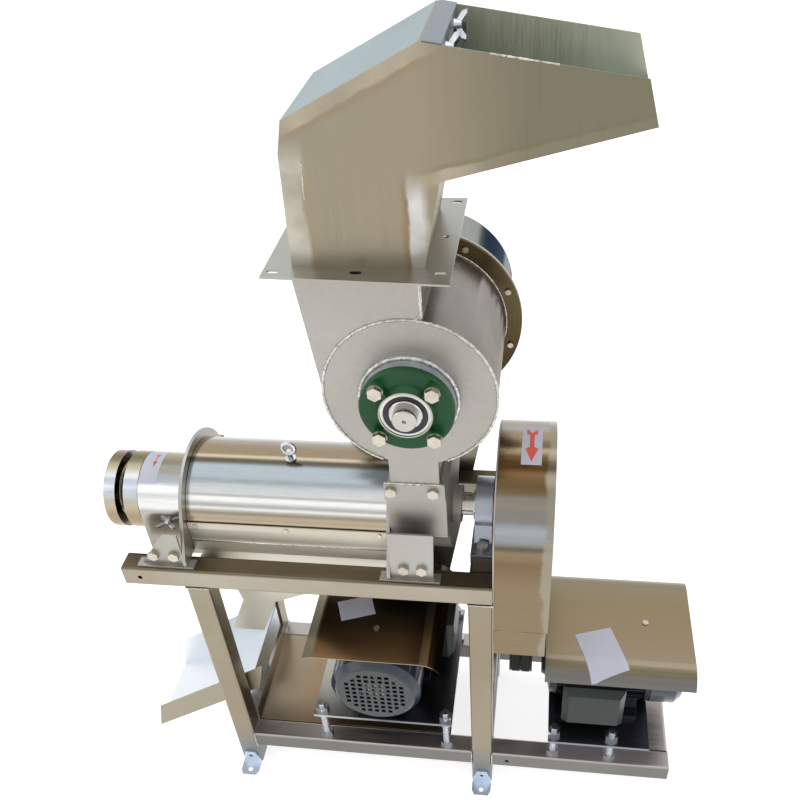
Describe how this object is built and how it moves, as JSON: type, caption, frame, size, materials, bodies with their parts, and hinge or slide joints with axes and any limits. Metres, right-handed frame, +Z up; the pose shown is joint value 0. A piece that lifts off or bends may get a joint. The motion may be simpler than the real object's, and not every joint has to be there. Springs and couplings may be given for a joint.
{
  "type": "commercial juice extractor",
  "caption": "Floor-standing stainless juice extractor: a hopper feeds a belt-driven crusher above a horizontal screw press with juice tray and pulp outlet on a tube frame.",
  "frame": {"origin": "on the floor, at the centre of the four foot anchor holes", "axes": "+X along the press screw from the pulp outlet to its pulley, +Y towards the crusher belt guard at the back, +Z up"},
  "size_m": [1.0815, 0.412, 1.3903],
  "materials": {
    "frame_steel": "satin",
    "zinc_plate": "zinc plated",
    "satin_stainless": "satin",
    "polished_stainless": "polished",
    "green_casting": "gloss",
    "blue_grey_casting": "satin",
    "bearing_steel": "ground",
    "fastener_steel": "bright",
    "tool_steel": "machined",
    "pulley_iron": "painted",
    "belt_rubber": "matte",
    "motor_paint": "semi gloss",
    "terminal_paint": "semi gloss",
    "rotor_steel": "machined",
    "flap_rubber": "matte"
  },
  "bodies": {
    "frame": {"top_rails": "frame_steel", "legs": "frame_steel", "lower_rails": "frame_steel", "foot_plates": "zinc_plate", "lower_deck": "frame_steel", "crusher_shell": "polished_stainless", "crusher_front_plate": "satin_stainless", "crusher_rear_cover": "polished_stainless", "crusher_screen": "satin_stainless", "crusher_bearing_housings": "green_casting", "bearing_outer_rings": "bearing_steel", "pillow_block": "blue_grey_casting", "press_end_plates": "satin_stainless", "press_feet": "satin_stainless", "press_gussets": "satin_stainless", "press_screen": "satin_stainless", "juice_trough": "satin_stainless", "juice_tray": "satin_stainless", "discharge_hood": "polished_stainless", "outlet_sleeve": "polished_stainless", "feed_box": "satin_stainless", "hopper_body": "satin_stainless", "hopper_flange": "satin_stainless", "hopper_crossbar": "satin_stainless", "wing_fasteners": "fastener_steel", "crusher_bolts": "fastener_steel", "press_bolts": "fastener_steel", "screw_guard": "satin_stainless", "guard_back_plate": "satin_stainless", "rear_guard_shell": "polished_stainless", "rear_guard_plate": "satin_stainless", "screw_motor_body": "motor_paint", "crusher_motor_body": "motor_paint", "motor_feet": "motor_paint", "motor_fan_covers": "motor_paint", "terminal_boxes": "terminal_paint", "screw_belts": "belt_rubber", "crusher_belts": "belt_rubber", "motor_plates": "zinc_plate", "plate_rods": "zinc_plate", "screw_motor_hood": "satin_stainless", "crusher_motor_hood": "satin_stainless", "hood_posts": "satin_stainless"},
    "press_cover": {"press_cover": "polished_stainless", "cover_knob": "fastener_steel"},
    "crusher_rotor": {"crusher_inner_rings": "bearing_steel", "crusher_shaft": "bearing_steel", "crusher_rotor_drum": "tool_steel", "crusher_knives": "tool_steel", "crusher_pulley": "pulley_iron"},
    "crusher_motor_rotor": {"crusher_motor_rotor": "rotor_steel", "crusher_motor_pulley": "pulley_iron"},
    "press_screw": {"screw_inner_ring": "bearing_steel", "press_screw": "polished_stainless", "screw_pulley": "pulley_iron"},
    "screw_motor_rotor": {"screw_motor_rotor": "rotor_steel", "screw_motor_pulley": "pulley_iron"},
    "splash_flap": {"splash_flap": "flap_rubber"},
    "pressure_cone": {"pressure_cone": "polished_stainless"},
    "adjusting_nut": {"adjusting_nut": "fastener_steel"}
  },
  "joints": [
    {"name": "cover_lift", "type": "slide", "parent": "frame", "child": "press_cover", "axis": [0, 0, 1], "range_m": [0, 0.05]},
    {"name": "crusher_spin", "type": "hinge", "parent": "frame", "child": "crusher_rotor", "pos_m": [0.144, 0, 0.934], "axis": [0, 1, 0], "continuous": true},
    {"name": "crusher_motor_spin", "type": "hinge", "parent": "frame", "child": "crusher_motor_rotor", "pos_m": [0.043, 0.1, 0.275], "axis": [0, 1, 0], "continuous": true},
    {"name": "screw_spin", "type": "hinge", "parent": "frame", "child": "press_screw", "pos_m": [0, 0, 0.6362], "axis": [1, 0, 0], "continuous": true},
    {"name": "screw_motor_spin", "type": "hinge", "parent": "frame", "child": "screw_motor_rotor", "pos_m": [0.45, 0, 0.2552], "axis": [1, 0, 0], "continuous": true},
    {"name": "flap_swing", "type": "hinge", "parent": "frame", "child": "splash_flap", "pos_m": [0.208, 0, 1.349], "axis": [0, 1, 0], "range_deg": [0, 60]},
    {"name": "cone_slide", "type": "slide", "parent": "press_screw", "child": "pressure_cone", "axis": [1, 0, 0], "range_m": [-0.002, 0.012]},
    {"name": "nut_turn", "type": "hinge", "parent": "pressure_cone", "child": "adjusting_nut", "pos_m": [-0.405, 0, 0.6362], "axis": [1, 0, 0], "range_deg": [-180, 1080]}
  ],
  "couplings": [
    {"joint": "crusher_motor_spin", "follows": "crusher_spin", "ratio": 0.84849},
    {"joint": "screw_motor_spin", "follows": "screw_spin", "ratio": 2.8261},
    {"joint": "nut_turn", "follows": "cone_slide", "rad_per_m": 1570.8}
  ]
}
